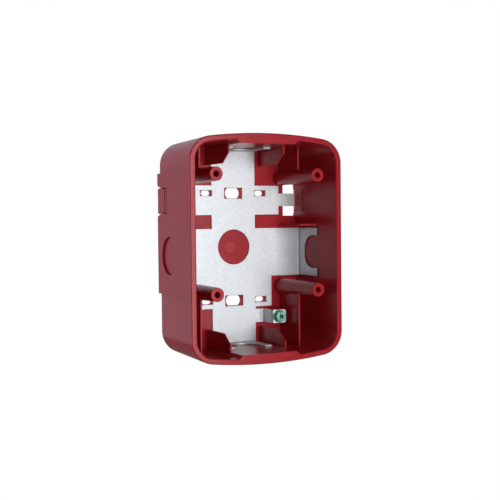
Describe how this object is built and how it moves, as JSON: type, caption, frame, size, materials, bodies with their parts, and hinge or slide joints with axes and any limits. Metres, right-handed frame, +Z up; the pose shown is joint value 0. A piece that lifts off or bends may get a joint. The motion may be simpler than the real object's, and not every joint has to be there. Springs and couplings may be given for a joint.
{
  "type": "horn strobe surface back box",
  "caption": "Open wall box of red moulded plastic with crowned ends, device posts, conduit and raceway knockouts, slotted floor and a steel grounding bracket with ground screw.",
  "frame": {"origin": "centre of the back face that lies on the wall, midway between the upper and lower mounting slots", "axes": "+X right and +Z up as seen from the front, +Y into the wall; the box opens towards -Y"},
  "size_m": [0.124, 0.0617, 0.1668],
  "materials": {
    "red_plastic": "moulded, satin to semi-gloss",
    "galvanised_steel": "hot-dip galvanised sheet with a fine spangle",
    "green_plated_steel": "green chromate plating"
  },
  "bodies": {
    "box": {"box_shell": "red_plastic", "ground_bracket": "galvanised_steel"},
    "washer": {"ground_screw_washer": "green_plated_steel"},
    "screw": {"ground_screw": "green_plated_steel"},
    "rear_knockout": {"rear_knockout": "red_plastic"},
    "left_knockout": {"left_knockout": "red_plastic"},
    "right_knockout": {"right_knockout": "red_plastic"},
    "top_knockout": {"top_knockout": "red_plastic"},
    "bottom_knockout": {"bottom_knockout": "red_plastic"},
    "left_raceway_knockout": {"left_raceway_knockout": "red_plastic"},
    "left_raceway_strip": {"left_raceway_strip": "red_plastic"},
    "right_raceway_knockout": {"right_raceway_knockout": "red_plastic"},
    "right_raceway_strip": {"right_raceway_strip": "red_plastic"}
  },
  "joints": [
    {"name": "ground_screw_travel", "type": "slide", "parent": "box", "child": "washer", "axis": [0, -1, 0], "range_m": [0, 0.00397]},
    {"name": "ground_screw_turn", "type": "hinge", "parent": "washer", "child": "screw", "pos_m": [0.0315, -0.0192, -0.0544], "axis": [0, -1, 0], "range_deg": [0, 1800]},
    {"name": "rear_knockout_out", "type": "slide", "parent": "box", "child": "rear_knockout", "axis": [0, 1, 0], "range_m": [0, 0.02]},
    {"name": "left_knockout_out", "type": "slide", "parent": "box", "child": "left_knockout", "axis": [-1, 0, 0], "range_m": [0, 0.02]},
    {"name": "right_knockout_out", "type": "slide", "parent": "box", "child": "right_knockout", "axis": [1, 0, 0], "range_m": [0, 0.02]},
    {"name": "top_knockout_out", "type": "slide", "parent": "box", "child": "top_knockout", "axis": [0, 0, 1], "range_m": [0, 0.02]},
    {"name": "bottom_knockout_out", "type": "slide", "parent": "box", "child": "bottom_knockout", "axis": [0, 0, -1], "range_m": [0, 0.02]},
    {"name": "left_raceway_knockout_out", "type": "slide", "parent": "box", "child": "left_raceway_knockout", "axis": [-1, 0, 0], "range_m": [0, 0.02]},
    {"name": "left_raceway_strip_out", "type": "slide", "parent": "box", "child": "left_raceway_strip", "axis": [-1, 0, 0], "range_m": [0, 0.02]},
    {"name": "right_raceway_knockout_out", "type": "slide", "parent": "box", "child": "right_raceway_knockout", "axis": [1, 0, 0], "range_m": [0, 0.02]},
    {"name": "right_raceway_strip_out", "type": "slide", "parent": "box", "child": "right_raceway_strip", "axis": [1, 0, 0], "range_m": [0, 0.02]}
  ],
  "couplings": [
    {"joint": "ground_screw_turn", "follows": "ground_screw_travel", "rad_per_m": 7913.3}
  ]
}
